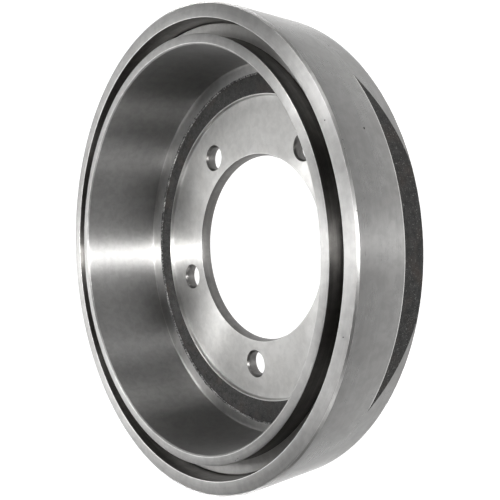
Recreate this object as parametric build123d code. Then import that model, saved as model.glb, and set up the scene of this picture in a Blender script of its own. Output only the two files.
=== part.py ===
"""Brake drum for a light truck wheel: one grey iron casting, turned on its working surfaces.

Millimetres. The drum axis is Z. The drum stands on its wheel mounting face at Z = 0, with its open
end up, and the unturned crescent on its outside faces -Y.
"""

import math
import os

from build123d import *

# Overall size
DEPTH = 95.5                    # wheel mounting face to the front of the inner lip
FRICTION_DIA = 320.0
CORNER_HEIGHT = 33.2            # wheel mounting face to the back corner of the outside
MOUTH_CHAMFER = 1.1

# Open end: inner lip, slot for the rim of a backing plate, outer flange
LIP_WALL = 7.9
SLOT_WIDTH = 11.2
FLANGE_WALL = 11.4
SLOT_DEPTH = 17.2
RELIEF_WIDTH = 1.0              # narrow groove in the outer corner of the slot
RELIEF_DEPTH = 2.5
FLANGE_SETBACK = 0.3            # front of the flange, behind the front of the lip
FLANGE_BEVEL_RADIAL = 1.6
FLANGE_BEVEL_AXIAL = 1.0

# Web inside, from the friction surface inwards
TURNED_RING = 10.0              # flat ring turned with the friction surface, mean width
CAST_DROP = 0.8                 # small step from that ring down to the cast band
CAST_BAND = 16.9                # mean radial width of the cast band
CAST_FALL = 4.0                 # fall of the cast band
WEB_SHIFT = 6.5                 # centre of the cast edge to the turning centre
WEB_DIRECTION = -96.0           # where the turned ring is narrowest
FACE_RECESS = 3.5               # cast band down to the turned hub face
RECESS_FILLET = 1.6

# Hub plate
HUB_THICKNESS = 11.0
STUD_TO_RECESS = 29.1           # stud circle to the wall of the recess
STUD_TO_PILOT = 22.0            # stud circle to the wall of the pilot bore
STUD_TO_BOSS = 30.0             # stud circle to the edge of the wheel mounting face
PILOT_LEAD_RADIAL = 1.2
PILOT_LEAD_DEPTH = 4.4
PILOT_BACK_CHAMFER = 1.0
STUD_COUNT = 5
STUD_HOLE_DIA = 21.5
STUD_CHAMFER = 1.6
FIRST_STUD_ANGLE = 36.0

# Back of the casting
BOSS_HEIGHT = 5.0
BOSS_CHAMFER = 1.5
BOSS_FOOT = 2.0                 # sloping foot of the boss
SHOULDER_ANGLE = 45.0           # slope of the shoulder behind the back corner
CORNER_RADIUS = 2.0
SHOULDER_FILLET = 12.0

# Unturned crescent: the casting sits off centre behind its front band
CRESCENT_LENGTH = 18.9          # back corner to the front edge of the crescent
CAST_SHIFT = 5.0                # casting centre to turning centre
CRESCENT_FRONT_ANGLE = 35.0     # half angle of the crescent at its front edge
CRESCENT_BACK_ANGLE = 14.0      # half angle at the back corner
CRESCENT_DIRECTION = -86.5      # middle of the crescent

# Radii, from the friction surface outwards and inwards
FRICTION_R = FRICTION_DIA / 2
SLOT_IN_R = FRICTION_R + LIP_WALL
SLOT_OUT_R = SLOT_IN_R + SLOT_WIDTH
OUTER_R = SLOT_OUT_R + FLANGE_WALL
WEB_R = FRICTION_R - TURNED_RING
RECESS_R = WEB_R - CAST_BAND
STUD_R = RECESS_R - STUD_TO_RECESS
PILOT_R = STUD_R - STUD_TO_PILOT
BOSS_R = STUD_R + STUD_TO_BOSS

# Heights above the wheel mounting face
CAST_LOW_Z = HUB_THICKNESS + FACE_RECESS
CAST_TOP_Z = CAST_LOW_Z + CAST_FALL
RING_Z = CAST_TOP_Z + CAST_DROP
SLOT_Z = DEPTH - SLOT_DEPTH
FLANGE_Z = DEPTH - FLANGE_SETBACK

CLEAR = 20.0                    # how far cutters reach past the casting


def near(shape, radius, z):
    """The corner of a profile at this radius and height."""
    return [v for v in shape.vertices() if math.hypot(v.X - radius, v.Z - z) < 1e-3]


def profile(points, fillets=()):
    """Closed profile in the XZ plane, with some of its corners rounded."""
    face = Plane.XZ * make_face(Polyline(*points, close=True))
    for radius, z, size in fillets:
        face = fillet(near(face, radius, z), size)
    return face


def turned(points, fillets=()):
    """Solid of revolution of a profile about the drum axis."""
    return revolve(profile(points, fillets), Axis.Z)


def blank():
    """Outer flange, back corner, sloping shoulder, back of the web and wheel boss."""
    slope_run = (CORNER_HEIGHT - BOSS_HEIGHT) / math.tan(math.radians(SHOULDER_ANGLE))
    shoulder_r = OUTER_R - slope_run
    slot_mid_r = SLOT_IN_R + SLOT_WIDTH / 2
    points = [
        (0, 0),
        (BOSS_R - BOSS_CHAMFER, 0),
        (BOSS_R, BOSS_CHAMFER),
        (BOSS_R, BOSS_HEIGHT - BOSS_FOOT),
        (BOSS_R + BOSS_FOOT, BOSS_HEIGHT),
        (shoulder_r, BOSS_HEIGHT),
        (OUTER_R, CORNER_HEIGHT),
        (OUTER_R, FLANGE_Z - FLANGE_BEVEL_AXIAL),
        (OUTER_R - FLANGE_BEVEL_RADIAL, FLANGE_Z),
        (slot_mid_r, FLANGE_Z),
        (slot_mid_r, DEPTH),
        (0, DEPTH),
    ]
    fillets = [
        (shoulder_r, BOSS_HEIGHT, SHOULDER_FILLET),
        (OUTER_R, CORNER_HEIGHT, CORNER_RADIUS),
    ]
    return turned(points, fillets)


def bowl():
    """What is turned inside the drum: mouth, friction surface, flat ring, recessed hub face."""
    points = [
        (0, HUB_THICKNESS),
        (RECESS_R, HUB_THICKNESS),
        (RECESS_R, RING_Z),
        (FRICTION_R, RING_Z),
        (FRICTION_R, DEPTH - MOUTH_CHAMFER),
        (FRICTION_R + MOUTH_CHAMFER, DEPTH),
        (FRICTION_R + MOUTH_CHAMFER, DEPTH + CLEAR),
        (0, DEPTH + CLEAR),
    ]
    return turned(points, [(RECESS_R, HUB_THICKNESS, RECESS_FILLET)])


def cast_hollow():
    """As-cast hollow of the web, inside the flat ring.

    Its sloping band starts level all round at the turned recess and ends at the cast edge, a circle
    that lies WEB_SHIFT off the drum axis, so that the band is wider on one side.
    """
    side = math.radians(WEB_DIRECTION)
    centre = Pos(WEB_SHIFT * math.cos(side), WEB_SHIFT * math.sin(side), CAST_TOP_Z)
    band = loft([Pos(0, 0, CAST_LOW_Z) * Circle(RECESS_R), centre * Circle(WEB_R)], ruled=True)
    step = extrude(centre * Circle(WEB_R), CAST_DROP + CLEAR)
    return band + step


def labyrinth_slot():
    """Slot between lip and flange, with the relief groove in its outer corner."""
    points = [
        (SLOT_IN_R, SLOT_Z),
        (SLOT_OUT_R - RELIEF_WIDTH, SLOT_Z),
        (SLOT_OUT_R - RELIEF_WIDTH, SLOT_Z - RELIEF_DEPTH),
        (SLOT_OUT_R, SLOT_Z - RELIEF_DEPTH),
        (SLOT_OUT_R, DEPTH + CLEAR),
        (SLOT_IN_R, DEPTH + CLEAR),
    ]
    return turned(points)


def pilot_bore():
    """Centre bore with its tapered lead from inside and a chamfer at the wheel side."""
    points = [
        (0, -CLEAR),
        (PILOT_R + PILOT_BACK_CHAMFER, -CLEAR),
        (PILOT_R + PILOT_BACK_CHAMFER, 0),
        (PILOT_R, PILOT_BACK_CHAMFER),
        (PILOT_R, HUB_THICKNESS - PILOT_LEAD_DEPTH),
        (PILOT_R + PILOT_LEAD_RADIAL, HUB_THICKNESS),
        (PILOT_R + PILOT_LEAD_RADIAL, HUB_THICKNESS + CLEAR),
        (0, HUB_THICKNESS + CLEAR),
    ]
    return turned(points)


def stud_hole():
    """Wheel stud hole, chamfered at both faces of the hub plate."""
    radius = STUD_HOLE_DIA / 2
    wide = radius + STUD_CHAMFER
    points = [
        (0, -CLEAR),
        (wide, -CLEAR),
        (wide, 0),
        (radius, STUD_CHAMFER),
        (radius, HUB_THICKNESS - STUD_CHAMFER),
        (wide, HUB_THICKNESS),
        (wide, DEPTH),
        (0, DEPTH),
    ]
    return turned(points)


def stud_holes():
    """The circle of wheel stud holes."""
    places = PolarLocations(STUD_R, STUD_COUNT, start_angle=FIRST_STUD_ANGLE)
    return [place * stud_hole() for place in places]


def crescent():
    """What the casting lacks beside its front band, where the turning cut found no metal.

    The cast outside is a cone whose axis lies CAST_SHIFT away from the drum axis, opposite the
    crescent. The turned cylinder and this cone meet along the curved back edge of the crescent.
    """
    front_r = OUTER_R + CAST_SHIFT * math.cos(math.radians(CRESCENT_FRONT_ANGLE))
    back_r = OUTER_R + CAST_SHIFT * math.cos(math.radians(CRESCENT_BACK_ANGLE))
    front_z = CORNER_HEIGHT + CRESCENT_LENGTH
    draft = (back_r - front_r) / CRESCENT_LENGTH
    end_z = CORNER_HEIGHT - 4 * CORNER_RADIUS
    end_r = back_r + draft * (CORNER_HEIGHT - end_z)
    points = [
        (front_r, front_z),
        (end_r, end_z),
        (end_r + CLEAR, end_z),
        (front_r + CLEAR, front_z),
    ]
    away = math.radians(CRESCENT_DIRECTION + 180)
    shift = Pos(CAST_SHIFT * math.cos(away), CAST_SHIFT * math.sin(away), 0)
    return shift * turned(points)


def brake_drum():
    """The whole drum, one solid."""
    drum = blank() - bowl() - cast_hollow() - labyrinth_slot() - pilot_bore() - crescent()
    for hole in stud_holes():
        drum -= hole
    drum.label = "brake_drum"
    drum.color = Color(0.55, 0.55, 0.54)
    return drum


os.makedirs("parts", exist_ok=True)
export_step(brake_drum(), "parts/brake_drum.step")
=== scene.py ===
"""A light truck brake drum lying on its wheel face, open end up. Metres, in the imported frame."""

import math

import bmesh
import bpy
import numpy as np
from mathutils import Matrix, Vector, noise

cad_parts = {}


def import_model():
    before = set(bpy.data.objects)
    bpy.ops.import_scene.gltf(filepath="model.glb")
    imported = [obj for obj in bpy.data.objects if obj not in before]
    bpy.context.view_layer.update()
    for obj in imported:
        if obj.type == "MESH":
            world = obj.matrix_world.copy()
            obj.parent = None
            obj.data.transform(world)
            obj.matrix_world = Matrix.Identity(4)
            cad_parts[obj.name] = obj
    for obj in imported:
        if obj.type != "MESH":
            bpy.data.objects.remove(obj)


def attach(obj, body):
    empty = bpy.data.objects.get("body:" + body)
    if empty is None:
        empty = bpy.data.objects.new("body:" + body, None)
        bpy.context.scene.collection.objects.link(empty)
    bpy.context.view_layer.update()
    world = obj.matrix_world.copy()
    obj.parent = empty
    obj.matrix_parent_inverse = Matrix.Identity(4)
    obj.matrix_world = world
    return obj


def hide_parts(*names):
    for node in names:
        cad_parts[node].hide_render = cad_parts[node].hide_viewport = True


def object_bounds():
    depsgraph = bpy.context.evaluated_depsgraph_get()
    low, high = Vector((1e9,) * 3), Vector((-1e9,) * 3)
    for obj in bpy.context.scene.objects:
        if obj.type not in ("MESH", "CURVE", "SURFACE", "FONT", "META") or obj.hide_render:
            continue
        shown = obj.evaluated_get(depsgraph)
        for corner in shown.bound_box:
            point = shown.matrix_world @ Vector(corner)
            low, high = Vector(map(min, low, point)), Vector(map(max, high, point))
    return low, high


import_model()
CAD_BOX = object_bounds()
MM = 0.001

# Radii and heights of the drum, in millimetres, as in the solids
OUTER_R = CAD_BOX[1].x / MM
DEPTH = CAD_BOX[1].z / MM
FRICTION_R = 160.0
SLOT_IN_R = 167.9
SLOT_OUT_R = 179.1
SLOT_Z = DEPTH - 17.2
RELIEF_WIDTH = 1.0
RELIEF_DEPTH = 2.5
FLANGE_Z = DEPTH - 0.3
MOUTH_CHAMFER = 1.1
BEVEL_RADIAL = 1.6
BEVEL_AXIAL = 1.0
RING_Z = 19.3
WEB_R = 150.0
WEB_SHIFT = 6.5                 # centre of the cast edge to the drum axis
WEB_DIRECTION = -96.0
CAST_TOP_Z = 18.5
CAST_LOW_Z = 14.5
RECESS_R = 133.1
RECESS_FILLET = 1.6
HUB_Z = 11.0
PILOT_R = 82.0
PILOT_LEAD_RADIAL = 1.2
PILOT_LEAD_DEPTH = 4.4
PILOT_BACK_CHAMFER = 1.0
BOSS_R = 134.0
BOSS_Z = 5.0
BOSS_CHAMFER = 1.5
BOSS_FOOT = 2.0
CORNER_Z = 33.2
CORNER_RADIUS = 2.0
SHOULDER_R = OUTER_R - (CORNER_Z - BOSS_Z)
SHOULDER_FILLET = 12.0

# Stud holes
STUD_R = 104.0
STUD_COUNT = 5
STUD_HOLE_R = 10.75
STUD_CHAMFER = 1.6
FIRST_STUD_ANGLE = 36.0

# Unturned crescent
CRESCENT_FRONT_Z = CORNER_Z + 18.9
CAST_SHIFT = 5.0
CRESCENT_FRONT_ANGLE = 35.0
CRESCENT_BACK_ANGLE = 14.0
CRESCENT_DIRECTION = -86.5

# Small forms that only the scene has
EDGE = 0.45                     # broken edge of a turned corner
FLANGE_EDGE = 0.2               # outer edge of the flange's bevel
SLOT_CORNER = 0.5               # corners at the bottom of the slot
RING_CORNER = 0.9               # hollow corner between the friction surface and the ring
CAST_EDGE = 0.25                # edge between the ring and the cast band
BURR_WIDTH = 1.3                # speckled edge of the ring beside the cast band
RECESS_LAND = 1.0               # turned edge round the recess
LAND_DROP = 0.25                # how far that edge lies below the cast band
LAND_EDGE = 0.35
LAND_Z = CAST_LOW_Z + RECESS_LAND * (CAST_TOP_Z - CAST_LOW_Z) / (WEB_R - RECESS_R)
STUD_EDGE = 0.6
# Painted highlight: beside the crescent, the band of the outside between these two heights gets the
# bright edge material, for a bright line along the crescent's front edge
LIP_FRONT_Z = CRESCENT_FRONT_Z + 0.55    # bright edge at the front of the crescent
LIP_BACK_Z = CRESCENT_FRONT_Z - 0.6

# Small pits and nicks: direction, distance from the axis, height, size
PIT_FRONT = 0.1                 # pits on a front face lie this far outside it
PIT_FLATNESS = 0.8
PITS = [
    (-65.1, OUTER_R, 69.9, 0.85),
    (-41.4, OUTER_R, 51.3, 0.62),
    (-37.1, OUTER_R, 53.3, 0.45),
    (-38.9, OUTER_R, 54.8, 0.25),
    (-44.6, OUTER_R, 66.9, 0.36),
    (-59.4, OUTER_R, 72.0, 0.22),
    (-68.12, OUTER_R, 93.6, 0.45),
    (-69.8, OUTER_R, 94.2, 0.30),
    (-81.0, OUTER_R, 94.3, 0.42),
    (-63.0, 184.1, FLANGE_Z + PIT_FRONT, 0.50),
    (-103.7, 184.2, FLANGE_Z + PIT_FRONT, 0.45),
    (-151.1, 165.9, DEPTH + PIT_FRONT, 0.50),
    (-152.4, 166.6, DEPTH + PIT_FRONT, 0.42),
]

# Unevenness: how much it moves a point, the size of its features, octaves, seed
BACK_SKIN = (0.35, 3.0, 4, 1.3)
BAND_SKIN = (0.30, 2.4, 4, 5.9)
BURR_LINE = (0.50, 2.2, 2, 8.1)
CAST_EDGE_WIDE = (0.90, 9.0, 3, 2.2)
CAST_EDGE_FINE = (0.55, 2.2, 2, 4.4)
CRESCENT_FINE = (0.12, 1.9, 3, 7.7)
CRESCENT_WIDE = (0.08, 7.0, 2, 3.3)
CRESCENT_JAG = (0.10, 2.2, 2, 3.1)

BACK_SHARE = 0.7                # share of the back's unevenness along each axis
BACK_LIMIT = 0.2                # most that it moves a point outwards, before that share
BACK_START = 3.0                # it starts this far outside the boss
CAST_EDGE_DEPTH = 0.4           # the cast edge is level from here up to the ring

# How close a ring of the mesh is to a radius or a height to count as on it
TOUCH = 0.01
NEAR = 0.1
CLOSE = 0.3

# Columns of the mesh, in degrees
FINE_SPAN = 42.0                # each side of the crescent, where they are close
FINE_STEP = 0.5
COARSE_STEP = 0.75
CUTTER_STEP = 5.0
SHARP_ANGLE = 28.0              # an edge that bends more than this is sharp

ARC_PARTS = ((5.0, 6), (1.0, 3), (0.0, 2))    # radius that an arc is over, and its parts

# Cutters, in millimetres and degrees
CRESCENT_REACH = 45.0           # degrees each side that the crescent's cutter reaches
CRESCENT_STEP = 0.25
CRESCENT_ROWS = 36
CRESCENT_BELOW = 9.0            # how far it reaches below the back corner
CRESCENT_OUT = 8.0              # and past the outside of the drum
CRESCENT_MARGIN = 0.05          # it is smooth where it cuts no deeper than this
CRESCENT_FADE = 0.5             # and fully rough where it cuts this much deeper
STUD_REACH = 3.0                # how far a stud's cutter reaches past the hub plate
STUD_STEP = 30.0

TURNED, FRICTION, OUTSIDE, SLOT, CAST, BORE, RIM, FRONT, BURR, RING, SKIN = range(11)


# ---------------------------------------------------------------- shapes


def linked(name, data):
    """A new object with this data, in the scene."""
    thing = bpy.data.objects.new(name, data)
    bpy.context.scene.collection.objects.link(thing)
    return thing


def mesh_object(name, points, faces, materials):
    """An object of these points, in millimetres, with a material for each face."""
    mesh = bpy.data.meshes.new(name)
    mesh.from_pydata((np.array(points) * MM).tolist(), [], faces)
    mesh.polygons.foreach_set("material_index", materials)
    mesh.update()
    return linked(name, mesh)


def polar(radius, angle):
    """X and Y of a point at this radius and angle."""
    return radius * math.cos(angle), radius * math.sin(angle)


def fillet_points(before, corner, after, radius, parts):
    """Points of the arc that rounds a corner of the profile."""
    corner = np.array(corner)
    one = np.array(before) - corner
    two = np.array(after) - corner
    one /= np.linalg.norm(one)
    two /= np.linalg.norm(two)
    half = math.acos(np.clip(one @ two, -1, 1)) / 2
    middle = (one + two) / np.linalg.norm(one + two)
    centre = corner + middle * radius / math.sin(half)
    start = corner + one * radius / math.tan(half) - centre
    end = corner + two * radius / math.tan(half) - centre
    turn = math.atan2(start[0] * end[1] - start[1] * end[0], start @ end)
    points = []
    for i in range(parts + 1):
        c, s = polar(1.0, turn * i / parts)
        points.append(centre + np.array([c * start[0] - s * start[1], s * start[0] + c * start[1]]))
    return points


def drum_profile():
    """The drum's cross-section as corners (radius, height, rounding, kind, step).

    The kind and the step belong to the run from that corner to the next one.
    """
    return [
        (PILOT_R + PILOT_BACK_CHAMFER, 0, 0, TURNED, 9),
        (BOSS_R - BOSS_CHAMFER, 0, 0, TURNED, 9),
        (BOSS_R, BOSS_CHAMFER, 0, CAST, 2),
        (BOSS_R, BOSS_Z - BOSS_FOOT, 0, CAST, 2),
        (BOSS_R + BOSS_FOOT, BOSS_Z, 0, CAST, 2.5),
        (SHOULDER_R, BOSS_Z, SHOULDER_FILLET, CAST, 2.2),
        (OUTER_R, CORNER_Z, CORNER_RADIUS, OUTSIDE, 2.5),
        (OUTER_R, LIP_BACK_Z, 0, OUTSIDE, 2),
        (OUTER_R, LIP_FRONT_Z, 0, OUTSIDE, 6),
        (OUTER_R, FLANGE_Z - BEVEL_AXIAL, FLANGE_EDGE, FRONT, 2),
        (OUTER_R - BEVEL_RADIAL, FLANGE_Z, EDGE, FRONT, 5),
        (SLOT_OUT_R, FLANGE_Z, EDGE, SLOT, 8),
        (SLOT_OUT_R, SLOT_Z - RELIEF_DEPTH, 0, SLOT, 2),
        (SLOT_OUT_R - RELIEF_WIDTH, SLOT_Z - RELIEF_DEPTH, 0, SLOT, 3),
        (SLOT_OUT_R - RELIEF_WIDTH, SLOT_Z, EDGE, TURNED, 5),
        (SLOT_IN_R, SLOT_Z, SLOT_CORNER, SLOT, 8),
        (SLOT_IN_R, DEPTH, EDGE, FRONT, 3),
        (FRICTION_R + MOUTH_CHAMFER, DEPTH, EDGE, FRONT, 2),
        (FRICTION_R, DEPTH - MOUTH_CHAMFER, EDGE, FRICTION, 6),
        (FRICTION_R, RING_Z, RING_CORNER, RING, 2),
        (WEB_R + BURR_WIDTH, RING_Z, 0, BURR, 1),
        (WEB_R, RING_Z, CAST_EDGE, BURR, 0.5),
        (WEB_R, CAST_TOP_Z, 0, CAST, 1.2),
        (RECESS_R + RECESS_LAND, LAND_Z, 0, TURNED, 2),
        (RECESS_R, LAND_Z - LAND_DROP, LAND_EDGE, TURNED, 2),
        (RECESS_R, HUB_Z, RECESS_FILLET, TURNED, 6),
        (PILOT_R + PILOT_LEAD_RADIAL, HUB_Z, EDGE, BORE, 3),
        (PILOT_R, HUB_Z - PILOT_LEAD_DEPTH, 0, BORE, 6),
        (PILOT_R, PILOT_BACK_CHAMFER, 0, BORE, 6),
    ]


def sampled(corners):
    """Rings of a closed profile: radius, height, and the kind of the run after each ring."""
    count = len(corners)
    arcs = []
    for i, (r, z, rounding, _, _) in enumerate(corners):
        if rounding:
            parts = next(parts for over, parts in ARC_PARTS if rounding > over)
            before = corners[i - 1][:2]
            after = corners[(i + 1) % count][:2]
            arcs.append(fillet_points(before, (r, z), after, rounding, parts))
        else:
            arcs.append([np.array([float(r), float(z)])])
    rings = []
    for i, (_, _, rounding, kind, step) in enumerate(corners):
        before_kind = corners[i - 1][3]
        along = RIM if rounding == EDGE else CAST if before_kind == CAST else kind
        rings.extend((point[0], point[1], along) for point in arcs[i][:-1])
        start, end = arcs[i][-1], arcs[(i + 1) % count][0]
        parts = max(1, round(np.linalg.norm(end - start) / step))
        for k in range(parts):
            point = start + (end - start) * k / parts
            rings.append((point[0], point[1], kind))
    return rings


def column_angles():
    """Angles of the mesh columns, closer together beside the crescent."""
    low = CRESCENT_DIRECTION - FINE_SPAN
    high = CRESCENT_DIRECTION + FINE_SPAN
    fine = np.linspace(low, high, round((high - low) / FINE_STEP), endpoint=False)
    coarse = np.linspace(high, low + 360, round((360 - high + low) / COARSE_STEP), endpoint=False)
    return np.radians(np.concatenate([fine, coarse]))


def rough(x, y, z, unevenness):
    """Seeded noise about zero at this point, in millimetres."""
    reach, size, octaves, seed = unevenness
    place = Vector((x / size + seed, y / size - seed, z / size + 2 * seed))
    return reach * noise.fractal(place, 1.0, 2.0, octaves, noise_basis="PERLIN_ORIGINAL")


def web_shift(r, z):
    """How far the web is off centre here: fully at the cast edge, not at all at its two rims."""
    if not (RECESS_R < r < FRICTION_R and HUB_Z < z < RING_Z + TOUCH):
        return 0.0
    if r > WEB_R:
        outer_rim = FRICTION_R - RING_CORNER
        return WEB_SHIFT * (outer_rim - min(r, outer_rim)) / (outer_rim - WEB_R)
    inner_rim = RECESS_R + RECESS_LAND
    return WEB_SHIFT * max(0.0, r - inner_rim) / (WEB_R - inner_rim)


def moved(r, z, angle, kind):
    """Radius and height of a mesh point after the casting's own unevenness."""
    x, y = polar(r, angle)
    if kind == CAST and r > BOSS_R + BACK_START and z < CORNER_Z:
        out = rough(x, y, z, BACK_SKIN)
        up = 0 if z < BOSS_Z + NEAR else BACK_SHARE
        return r + min(out, BACK_LIMIT) * BACK_SHARE, z + out * up
    on_band = RECESS_R + RECESS_LAND + CLOSE < r <= WEB_R + BURR_WIDTH + NEAR
    if not (on_band and CAST_LOW_Z < z < RING_Z + TOUCH):
        return r, z
    if r > WEB_R + CLOSE:
        return r + rough(x, y, 0, BURR_LINE), z
    out = rough(x, y, z, BAND_SKIN)
    if r > WEB_R - CLOSE:
        shift = rough(x, y, 0, CAST_EDGE_WIDE) + rough(x, y, 0, CAST_EDGE_FINE)
        return r + shift, z + (0 if z > RING_Z - CAST_EDGE_DEPTH else out)
    return r, z + out


def beside_crescent(angle):
    """Whether the crescent has its front edge at this angle."""
    turn = (angle - math.radians(CRESCENT_DIRECTION) + math.pi) % (2 * math.pi) - math.pi
    return abs(turn) < math.radians(CRESCENT_FRONT_ANGLE)


def lathe(name, corners, uneven=False):
    """Closed mesh of revolution about Z, from profile corners in millimetres.

    An uneven one is the drum: its web is off centre and its skin is rough.
    """
    rings = sampled(corners)
    angles = column_angles() if uneven else np.radians(np.arange(0, 360, CUTTER_STEP))
    columns = len(angles)
    side_x, side_y = polar(1.0, math.radians(WEB_DIRECTION))
    points = []
    for r, z, kind in rings:
        off = web_shift(r, z) if uneven else 0.0
        for angle in angles:
            new_r, new_z = moved(r, z, angle, kind) if uneven else (r, z)
            x, y = polar(new_r, angle)
            points.append((x + off * side_x, y + off * side_y, new_z))
    faces, materials, uvs = [], [], []
    length = 0.0
    for i, (r, z, kind) in enumerate(rings):
        k = (i + 1) % len(rings)
        run = math.hypot(rings[k][0] - r, rings[k][1] - z)
        # Painted highlight: the lip band beside the crescent takes the bright edge material
        on_lip = uneven and kind == OUTSIDE and r > OUTER_R - TOUCH and abs(z - LIP_BACK_Z) < TOUCH
        for j in range(columns):
            n = (j + 1) % columns
            faces.append((i * columns + j, i * columns + n, k * columns + n, k * columns + j))
            materials.append(RIM if on_lip and beside_crescent(angles[j]) else kind)
            u0, u1 = j / columns, (j + 1) / columns
            v0, v1 = length * MM, (length + run) * MM
            uvs.extend([(u0, v0), (u1, v0), (u1, v1), (u0, v1)])
        length += run
    thing = mesh_object(name, points, faces, materials)
    thing.data.uv_layers.new(name="around").data.foreach_set("uv", np.array(uvs).ravel())
    return thing


def cast_radius(turn, z):
    """Radius of the off-centre cast cone, this far round from the middle of the crescent."""
    front = OUTER_R + CAST_SHIFT * math.cos(math.radians(CRESCENT_FRONT_ANGLE))
    back = OUTER_R + CAST_SHIFT * math.cos(math.radians(CRESCENT_BACK_ANGLE))
    draft = (back - front) / (CRESCENT_FRONT_Z - CORNER_Z)
    cone = front + draft * (CRESCENT_FRONT_Z - z)
    return math.sqrt(cone**2 - (CAST_SHIFT * math.sin(turn)) ** 2) - CAST_SHIFT * math.cos(turn)


def crescent_cutter():
    """What the casting lacks beside its front band, as one closed wedge with a rough inner face."""
    last = CRESCENT_REACH + CRESCENT_STEP / 2
    turns = np.radians(np.arange(-CRESCENT_REACH, last, CRESCENT_STEP))
    heights = np.linspace(CORNER_Z - CRESCENT_BELOW, CRESCENT_FRONT_Z, CRESCENT_ROWS)
    middle = math.radians(CRESCENT_DIRECTION)
    points = []
    for z in heights:
        for turn in turns:
            r = cast_radius(turn, z)
            x, y = polar(r, middle + turn)
            deep = min(1.0, max(0.0, OUTER_R - CRESCENT_MARGIN - r) / CRESCENT_FADE)
            r += deep * (rough(x, y, z, CRESCENT_FINE) + rough(x, y, z, CRESCENT_WIDE))
            jag = rough(x, y, 0, CRESCENT_JAG) if z == heights[-1] else 0.0
            points.append((*polar(r, middle + turn), z + jag))
    low = len(points)
    for z in (heights[0], heights[-1]):
        points.extend((*polar(OUTER_R + CRESCENT_OUT, middle + turn), z) for turn in turns)
    wide, tall = len(turns), len(heights)
    high = low + wide
    top = (tall - 1) * wide
    faces = []
    for i in range(tall - 1):
        for a in range(i * wide, (i + 1) * wide - 1):
            faces.append((a, a + wide, a + wide + 1, a + 1))
    for j in range(wide - 1):
        faces.append((low + j, low + j + 1, high + j + 1, high + j))
        faces.append((j, j + 1, low + j + 1, low + j))
        faces.append((top + j, high + j, high + j + 1, top + j + 1))
    for j in (0, wide - 1):
        column = [i * wide + j for i in range(tall)]
        faces.append((low + j, *column, high + j))
    cutter = mesh_object("crescent_cutter", points, faces, [SKIN] * len(faces))
    shape = bmesh.new()
    shape.from_mesh(cutter.data)
    bmesh.ops.recalc_face_normals(shape, faces=shape.faces)
    shape.to_mesh(cutter.data)
    shape.free()
    return cutter


def stud_cutter(index):
    """What is drilled out for one stud, with a chamfer at each face of the hub plate."""
    wide = STUD_HOLE_R + STUD_CHAMFER
    corners = [
        (TOUCH, -STUD_REACH, 0),
        (wide, -STUD_REACH, 0),
        (wide, 0, 0),
        (STUD_HOLE_R, STUD_CHAMFER, 0),
        (STUD_HOLE_R, HUB_Z - STUD_CHAMFER, STUD_EDGE),
        (wide, HUB_Z, 0),
        (wide, HUB_Z + STUD_REACH, 0),
        (TOUCH, HUB_Z + STUD_REACH, 0),
    ]
    cutter = lathe("stud_cutter", [(*corner, BORE, STUD_STEP) for corner in corners])
    angle = math.radians(FIRST_STUD_ANGLE + 360 / STUD_COUNT * index)
    cutter.data.transform(Matrix.Translation(Vector((*polar(STUD_R, angle), 0)) * MM))
    return cutter


def pit_cutter():
    """All the small pits, as separate round bodies in one mesh."""
    shape = bmesh.new()
    for direction, radius, height, size in PITS:
        place = Vector((*polar(radius, math.radians(direction)), height)) * MM
        squeeze = Matrix.Diagonal((size * MM, size * MM, PIT_FLATNESS * size * MM, 1))
        form = Matrix.Translation(place) @ squeeze
        bmesh.ops.create_icosphere(shape, subdivisions=2, radius=1, matrix=form)
    for face in shape.faces:
        face.material_index = SKIN
    mesh = bpy.data.meshes.new("pit_cutter")
    shape.to_mesh(mesh)
    shape.free()
    return linked("pit_cutter", mesh)


def subtract(target, cutters):
    """Cuts the closed meshes out of the target, for good, and closes what slivers leave open."""
    for cutter in cutters:
        modifier = target.modifiers.new("cut", "BOOLEAN")
        modifier.operation = "DIFFERENCE"
        modifier.solver = "EXACT"
        modifier.object = cutter
    depsgraph = bpy.context.evaluated_depsgraph_get()
    mesh = bpy.data.meshes.new_from_object(target.evaluated_get(depsgraph))
    shape = bmesh.new()
    shape.from_mesh(mesh)
    bmesh.ops.holes_fill(shape, edges=[edge for edge in shape.edges if edge.is_boundary])
    shape.to_mesh(mesh)
    shape.free()
    target.modifiers.clear()
    target.data = mesh
    for cutter in cutters:
        bpy.data.objects.remove(cutter)


# ---------------------------------------------------------------- materials

# Turning marks: how many in a metre across them, and how much they change round the drum
FINE_MARKS = (1500.0, 2.0)
WIDE_MARKS = (260.0, 1.2)

# Noise on the turned metal: scale, detail, roughness, distortion
MARKS = (1.0, 2.0, 0.6)
BLOTCH = (42.0, 4.0, 0.55, 0.6)
SMUDGE = (150.0, 4.0, 0.6, 0.4)
GRAIN = (1300.0, 2.0, 0.6)

# The values of the noise over which a change comes in
MARK_SPREAD = 0.18              # each side of the middle
STAIN_RANGE = (0.45, 0.75)
GRAIN_RANGE = (0.5, 0.8)
SMUDGE_RANGE = (0.40, 0.62)
BROAD_RANGE = (0.3, 0.7)

# Most that each change mixes in
STAIN_SHARE = 0.35
GRAIN_SHARE = 0.2
SMUDGE_SHARE = 0.36

SMUDGE_TONE = 0.72              # a smudge beside the dark colour
# Painted shade: the colour that turned iron darkens to towards the open end
PAINTED_SHADE_COLOUR = (0.04, 0.04, 0.04)
ROUGHNESS_BY_BLOTCH = (-0.02, 0.03)
ROUGHNESS_BY_MARKS = (-0.02, 0.02)
MARK_BUMP = 0.000006
ACROSS_MARKS = 0.25             # turn of the highlight, in whole turns

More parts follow.
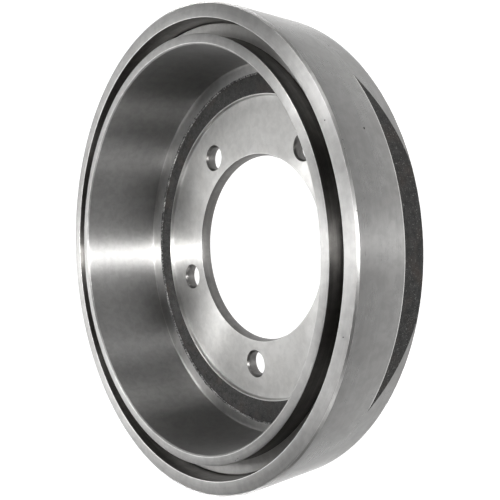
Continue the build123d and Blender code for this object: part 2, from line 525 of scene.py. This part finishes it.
# Casting skin
SKIN_COARSE = (260.0, 5.0, 0.65)
SKIN_FINE = (1100.0, 3.0, 0.6)
SKIN_BROWN = (70.0, 3.0, 0.5)
SKIN_LOW = (0.020, 0.0197, 0.0193)
SKIN_HIGH = (0.062, 0.061, 0.0595)
SKIN_RUST = (0.085, 0.062, 0.05)
SKIN_SPECK = (0.24, 0.235, 0.23)
SKIN_RANGE = (0.35, 0.68)
RUST_RANGE = (0.5, 0.75)
RUST_SHARE = 0.35
SPECK_RANGE = (0.6, 0.75)
SPECK_SHARE = 0.6
SKIN_ROUGHNESS = 0.22           # how much rougher the paler grain is
SKIN_FINE_BUMP = 0.4            # fine grain in the bump, beside the coarse
SKIN_BUMP = 0.0006

# Torn edge of the ring
BURR_GRAIN = (620.0, 4.0, 0.7)
BURR_WIDE = (130.0, 3.0, 0.6)
BURR_WIDE_SHARE = 0.5
BURR_RANGE = (0.44, 0.60)
BURR_DARK = (0.045, 0.044, 0.043)
BURR_BRIGHT = (0.44, 0.435, 0.425)
BURR_BUMP = 0.0007


class Nodes:
    """A material's node tree, with short ways to add and join nodes. A colour has three values."""

    def __init__(self, name):
        self.material = bpy.data.materials.new(name)
        self.material.use_nodes = True
        self.tree = self.material.node_tree
        self.tree.nodes.clear()
        self.out = self.add("ShaderNodeOutputMaterial")
        self.place = self.add("ShaderNodeTexCoord").outputs["Object"]

    def add(self, kind, **values):
        node = self.tree.nodes.new(kind)
        for key, value in values.items():
            setattr(node, key, value)
        return node

    def join(self, source, target):
        self.tree.links.new(source, target)

    def put(self, socket, value):
        if isinstance(value, bpy.types.NodeSocket):
            self.join(value, socket)
        elif isinstance(value, tuple):
            socket.default_value = (*value, 1)
        else:
            socket.default_value = value

    def math(self, operation, a, b):
        node = self.add("ShaderNodeMath", operation=operation)
        self.put(node.inputs[0], a)
        self.put(node.inputs[1], b)
        return node.outputs[0]

    def noise(self, vector, scale, detail, rough, distortion=0.0):
        node = self.add("ShaderNodeTexNoise")
        self.join(vector, node.inputs["Vector"])
        node.inputs["Scale"].default_value = scale
        node.inputs["Detail"].default_value = detail
        node.inputs["Roughness"].default_value = rough
        node.inputs["Distortion"].default_value = distortion
        return node.outputs["Fac"]

    def span(self, value, low, high, to_low=0.0, to_high=1.0):
        node = self.add("ShaderNodeMapRange")
        self.put(node.inputs["Value"], value)
        node.inputs["From Min"].default_value = low
        node.inputs["From Max"].default_value = high
        node.inputs["To Min"].default_value = to_low
        node.inputs["To Max"].default_value = to_high
        return node.outputs["Result"]

    def mix(self, factor, a, b):
        node = self.add("ShaderNodeMix", data_type="RGBA")
        self.put(node.inputs[0], factor)
        self.put(node.inputs[6], a)
        self.put(node.inputs[7], b)
        return node.outputs[2]

    def parts(self, vector):
        """The X, Y and Z of a vector."""
        node = self.add("ShaderNodeSeparateXYZ")
        self.join(vector, node.inputs[0])
        return node.outputs

    def vector(self, *values):
        node = self.add("ShaderNodeCombineXYZ")
        for socket, value in zip(node.inputs, values):
            self.put(socket, value)
        return node.outputs[0]

    def striped(self, per_metre, angular):
        """Noise that changes slowly along the turning marks and fast across them."""
        x, y, z = self.parts(self.place)
        flat = self.vector(x, y)
        radius = self.add("ShaderNodeVectorMath", operation="LENGTH")
        self.join(flat, radius.inputs[0])
        across = self.math("ADD", radius.outputs["Value"], z)
        unit = self.add("ShaderNodeVectorMath", operation="NORMALIZE")
        self.join(flat, unit.inputs[0])
        unit_x, unit_y, _ = self.parts(unit.outputs[0])
        place = self.vector(
            self.math("MULTIPLY", unit_x, angular),
            self.math("MULTIPLY", unit_y, angular),
            self.math("MULTIPLY", across, per_metre))
        return self.noise(place, *MARKS)

    def principled(self, colour, metallic, roughness, height, bump):
        """The surface: its colour and roughness, and a height that stands this many metres proud."""
        shader = self.add("ShaderNodeBsdfPrincipled")
        self.put(shader.inputs["Base Color"], colour)
        self.put(shader.inputs["Roughness"], roughness)
        shader.inputs["Metallic"].default_value = metallic
        relief = self.add("ShaderNodeBump")
        relief.inputs["Strength"].default_value = 1.0
        relief.inputs["Distance"].default_value = bump
        self.join(height, relief.inputs["Height"])
        self.join(relief.outputs[0], shader.inputs["Normal"])
        self.join(shader.outputs[0], self.out.inputs["Surface"])
        return shader


def toned(colour, tone):
    """A colour made darker or lighter."""
    return tuple(tone * part for part in colour)


def turned_iron(name, dark, light, stain, roughness, anisotropy, contrast=1.0, painted_shade=0.0):
    """Turned grey iron: fine marks round the axis, faint stains, a highlight across the marks.

    A painted shade darkens it towards the open end of the drum, standing in for the darker
    reflection there.
    """
    n = Nodes(name)
    fine = n.striped(*FINE_MARKS)
    wide = n.striped(*WIDE_MARKS)
    blotch = n.noise(n.place, *BLOTCH)
    grain = n.noise(n.place, *GRAIN)
    smudge = n.noise(n.place, *SMUDGE)
    marks = n.math("ADD", n.math("MULTIPLY", fine, 0.5), n.math("MULTIPLY", wide, 0.5))
    spread = MARK_SPREAD / contrast
    colour = n.mix(n.span(marks, 0.5 - spread, 0.5 + spread), dark, light)
    colour = n.mix(n.math("MULTIPLY", n.span(blotch, *STAIN_RANGE), STAIN_SHARE), colour, stain)
    colour = n.mix(n.math("MULTIPLY", n.span(grain, *GRAIN_RANGE), GRAIN_SHARE), colour, dark)
    amount = n.span(smudge, *SMUDGE_RANGE, 0.0, SMUDGE_SHARE)
    colour = n.mix(amount, colour, toned(dark, SMUDGE_TONE))
    # Painted shade: darker towards the flange, for the dark reflection there
    if painted_shade:
        height = n.parts(n.place)[2]
        amount = n.span(height, CRESCENT_FRONT_Z * MM, FLANGE_Z * MM, 0.0, painted_shade)
        colour = n.mix(amount, colour, PAINTED_SHADE_COLOUR)
    by_blotch = n.span(blotch, *BROAD_RANGE, *ROUGHNESS_BY_BLOTCH)
    by_marks = n.span(fine, *BROAD_RANGE, *ROUGHNESS_BY_MARKS)
    uneven = n.math("ADD", n.math("ADD", by_blotch, by_marks), roughness)
    shader = n.principled(colour, metallic=1.0, roughness=uneven, height=fine, bump=MARK_BUMP)
    shader.inputs["Anisotropic"].default_value = anisotropy
    shader.inputs["Anisotropic Rotation"].default_value = ACROSS_MARKS
    tangent = n.add("ShaderNodeTangent", direction_type="UV_MAP", uv_map="around")
    n.join(tangent.outputs[0], shader.inputs["Tangent"])
    return n.material


def cast_iron(name, tone, metallic, roughness, gloss):
    """Casting skin: dark, grainy, with paler specks and a little brown."""
    n = Nodes(name)
    coarse = n.noise(n.place, *SKIN_COARSE)
    fine = n.noise(n.place, *SKIN_FINE)
    brown = n.noise(n.place, *SKIN_BROWN)
    colour = n.mix(n.span(coarse, *SKIN_RANGE), toned(SKIN_LOW, tone), toned(SKIN_HIGH, tone))
    amount = n.math("MULTIPLY", n.span(brown, *RUST_RANGE), RUST_SHARE)
    colour = n.mix(amount, colour, toned(SKIN_RUST, tone))
    amount = n.math("MULTIPLY", n.span(fine, *SPECK_RANGE), SPECK_SHARE)
    colour = n.mix(amount, colour, SKIN_SPECK)
    uneven = n.span(coarse, *BROAD_RANGE, roughness, roughness + SKIN_ROUGHNESS)
    height = n.math("ADD", coarse, n.math("MULTIPLY", fine, SKIN_FINE_BUMP))
    shader = n.principled(colour, metallic, roughness=uneven, height=height, bump=SKIN_BUMP)
    shader.inputs["Specular IOR Level"].default_value = gloss
    return n.material


def burred_edge():
    """Torn edge of the turned ring, speckled where the tool broke the skin."""
    n = Nodes("burred_edge")
    grain = n.noise(n.place, *BURR_GRAIN)
    wide = n.noise(n.place, *BURR_WIDE)
    spots = n.math("ADD", grain, n.math("MULTIPLY", n.math("SUBTRACT", wide, 0.5), BURR_WIDE_SHARE))
    colour = n.mix(n.span(spots, *BURR_RANGE), BURR_DARK, BURR_BRIGHT)
    n.principled(colour, metallic=0.6, roughness=0.5, height=grain, bump=BURR_BUMP)
    return n.material


def drum_materials():
    """Materials in the order of the kinds of surface. Turned iron's colours: dark, light, stain."""
    return [
        turned_iron(
            "turned_face", (0.57, 0.566, 0.556), (0.62, 0.615, 0.60), (0.54, 0.525, 0.505),
            roughness=0.40, anisotropy=0.97, contrast=0.6),
        turned_iron(
            "friction_surface", (0.33, 0.327, 0.323), (0.37, 0.367, 0.362), (0.32, 0.31, 0.30),
            roughness=0.36, anisotropy=0.98, contrast=0.6),
        # Painted shade: the outside gets a darker colour than the other turned faces, standing in
        # for the dark surroundings that it reflects
        turned_iron(
            "turned_outside_painted_shade", (0.25, 0.248, 0.244), (0.30, 0.297, 0.291), (0.26, 0.248, 0.24),
            roughness=0.29, anisotropy=0.98, contrast=0.8, painted_shade=0.35),
        # Painted shade: the slot walls get a much darker colour than the other turned faces, for the
        # shade deep in the slot; the brown stain is the iron's own
        turned_iron(
            "slot_walls_painted_shade", (0.11, 0.107, 0.102), (0.24, 0.231, 0.22), (0.09, 0.078, 0.068),
            roughness=0.32, anisotropy=0.96),
        cast_iron("casting_skin", tone=1.0, metallic=0.35, roughness=0.42, gloss=0.5),
        # Painted shade: the bores get a darker colour than the other turned faces, for the shade
        # inside them
        turned_iron(
            "bored_wall_painted_shade", (0.15, 0.147, 0.143), (0.25, 0.245, 0.238), (0.12, 0.112, 0.105),
            roughness=0.44, anisotropy=0.7),
        turned_iron(
            "broken_edge", (0.60, 0.595, 0.585), (0.70, 0.695, 0.685), (0.54, 0.53, 0.51),
            roughness=0.34, anisotropy=0.4),
        turned_iron(
            "front_face", (0.38, 0.377, 0.372), (0.47, 0.466, 0.458), (0.35, 0.34, 0.33),
            roughness=0.43, anisotropy=0.88),
        burred_edge(),
        turned_iron(
            "turned_ring", (0.50, 0.496, 0.488), (0.56, 0.555, 0.545), (0.46, 0.448, 0.432),
            roughness=0.33, anisotropy=0.98, contrast=0.6),
        cast_iron("crescent_skin", tone=0.5, metallic=0.0, roughness=0.64, gloss=0.14),
    ]


# ---------------------------------------------------------------- the drum


def build_drum():
    """The drum, turned, drilled, cut and finished. It stands for the solid."""
    drum = lathe("brake_drum_turned", drum_profile(), uneven=True)
    for material in drum_materials():
        drum.data.materials.append(material)
    subtract(drum, [stud_cutter(i) for i in range(STUD_COUNT)] + [crescent_cutter(), pit_cutter()])
    drum.data.polygons.foreach_set("use_smooth", [True] * len(drum.data.polygons))
    drum.data.set_sharp_from_angle(angle=math.radians(SHARP_ANGLE))
    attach(drum, "root")
    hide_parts("brake_drum")


# ---------------------------------------------------------------- stage, in metres

FLOOR_SIZE = 60.0
FLOOR_GREY = (0.85, 0.85, 0.85)       # the floor as the drum's light meets it
FLOOR_FAINT = (0.22, 0.22, 0.22)      # the floor as the camera sees it, beside its own white
FLOOR_WHITE = 0.94                    # strength of that white

# The world, by how far its directions rise from level
WORLD_LOW = 1.0                       # strength at the horizon
WORLD_HIGH = 0.008                    # and overhead
WORLD_LOW_RISE = 0.13
WORLD_HIGH_RISE = 0.22

AIM = Vector((0, 0, 0.05))            # where the lamps point

# Name, place, width, height and radiance of each lamp. A radiance of 1 looks white.
LAMPS = [
    ("far_left", (-0.80, 1.40, 1.20), 0.6, 1.2, 0.3),
    ("far_middle", (-0.20, 1.40, 1.20), 0.6, 1.2, 2.8),
    ("far_right", (0.40, 1.40, 1.20), 0.6, 1.2, 0.8),
    ("ceiling", (0.0, 0.85, 1.42), 0.6, 0.7, 1.4),
    ("over_strip", (0.035, -0.05, 1.20), 0.05, 1.0, 9.5),
    ("near_lamp", (0.10, -1.30, 1.02), 0.19, 0.40, 115.0),
    ("low_a", (1.30, 0.62, 0.05), 1.1, 0.08, 36.0),
    ("low_b", (-1.30, 0.62, 0.05), 1.1, 0.08, 36.0),
    ("high_a", (0.60, 0.60, 1.35), 0.3, 0.3, 16.0),
    ("high_b", (-0.60, 0.60, 1.35), 0.3, 0.3, 4.0),
    ("side_a", (1.20, -0.42, 1.10), 0.30, 0.35, 8.0),
    ("side_b", (-1.04, -0.42, 1.10), 0.30, 0.35, 9.0),
]

# Camera, as the photograph was taken
CAMERA_PLACE = Vector((0.0249, -0.41887, 0.36448))
CAMERA_FORWARD = Vector((-0.04877, 0.76873, -0.63771))
CAMERA_UP = Vector((0.9988, 0.03488, -0.03435))
CAMERA_LENS = 44.428
SENSOR_WIDTH = 36.0
CLIP_START = 0.01
CLIP_END = 100.0


def floor():
    """Pale floor. It shows white, with the drum's faint shadow."""
    bpy.ops.mesh.primitive_plane_add(size=FLOOR_SIZE, location=(0, 0, 0))
    plane = bpy.context.object
    plane.name = "floor"
    n = Nodes("floor_white")
    diffuse = n.add("ShaderNodeBsdfDiffuse")
    n.put(diffuse.inputs["Color"], FLOOR_GREY)
    faint = n.add("ShaderNodeBsdfDiffuse")
    n.put(faint.inputs["Color"], FLOOR_FAINT)
    glow = n.add("ShaderNodeEmission")
    glow.inputs["Strength"].default_value = FLOOR_WHITE
    white = n.add("ShaderNodeAddShader")
    n.join(faint.outputs[0], white.inputs[0])
    n.join(glow.outputs[0], white.inputs[1])
    path = n.add("ShaderNodeLightPath")
    seen = n.math("MAXIMUM", path.outputs["Is Camera Ray"], path.outputs["Is Glossy Ray"])
    seen = n.math("MAXIMUM", seen, path.outputs["Is Transmission Ray"])
    mix = n.add("ShaderNodeMixShader")
    n.join(seen, mix.inputs[0])
    n.join(diffuse.outputs[0], mix.inputs[1])
    n.join(white.outputs[0], mix.inputs[2])
    n.join(mix.outputs[0], n.out.inputs["Surface"])
    plane.data.materials.append(n.material)


def world():
    """White round the horizon, dim overhead."""
    scene = bpy.context.scene
    scene.world = bpy.data.worlds.new("studio")
    scene.world.use_nodes = True
    tree = scene.world.node_tree
    tree.nodes.clear()
    out = tree.nodes.new("ShaderNodeOutputWorld")
    back = tree.nodes.new("ShaderNodeBackground")
    back.inputs["Color"].default_value = (1, 1, 1, 1)
    place = tree.nodes.new("ShaderNodeTexCoord")
    parts = tree.nodes.new("ShaderNodeSeparateXYZ")
    tree.links.new(place.outputs["Generated"], parts.inputs[0])
    ramp = tree.nodes.new("ShaderNodeMapRange")
    tree.links.new(parts.outputs["Z"], ramp.inputs["Value"])
    ramp.inputs["From Min"].default_value = WORLD_LOW_RISE
    ramp.inputs["From Max"].default_value = WORLD_HIGH_RISE
    ramp.inputs["To Min"].default_value = WORLD_LOW
    ramp.inputs["To Max"].default_value = WORLD_HIGH
    tree.links.new(ramp.outputs[0], back.inputs["Strength"])
    tree.links.new(back.outputs[0], out.inputs["Surface"])


def lamps():
    """Soft rectangular lamps that point at the drum."""
    for name, place, width, height, radiance in LAMPS:
        data = bpy.data.lights.new(name, "AREA")
        data.shape = "RECTANGLE"
        data.size = width
        data.size_y = height
        data.energy = radiance * math.pi * width * height
        lamp = linked(name, data)
        lamp.location = place
        lamp.rotation_euler = (AIM - lamp.location).to_track_quat("-Z", "Y").to_euler()


def camera():
    """The photograph's camera."""
    data = bpy.data.cameras.new("camera")
    data.sensor_width = SENSOR_WIDTH
    data.lens = CAMERA_LENS
    data.clip_start = CLIP_START
    data.clip_end = CLIP_END
    thing = linked("camera", data)
    back = -CAMERA_FORWARD.normalized()
    right = CAMERA_UP.cross(back).normalized()
    up = back.cross(right)
    turn = Matrix((right, up, back)).transposed().to_4x4()
    thing.matrix_world = Matrix.Translation(CAMERA_PLACE) @ turn
    bpy.context.scene.camera = thing


build_drum()
floor()
world()
lamps()
camera()
bpy.context.scene.view_settings.view_transform = "Standard"
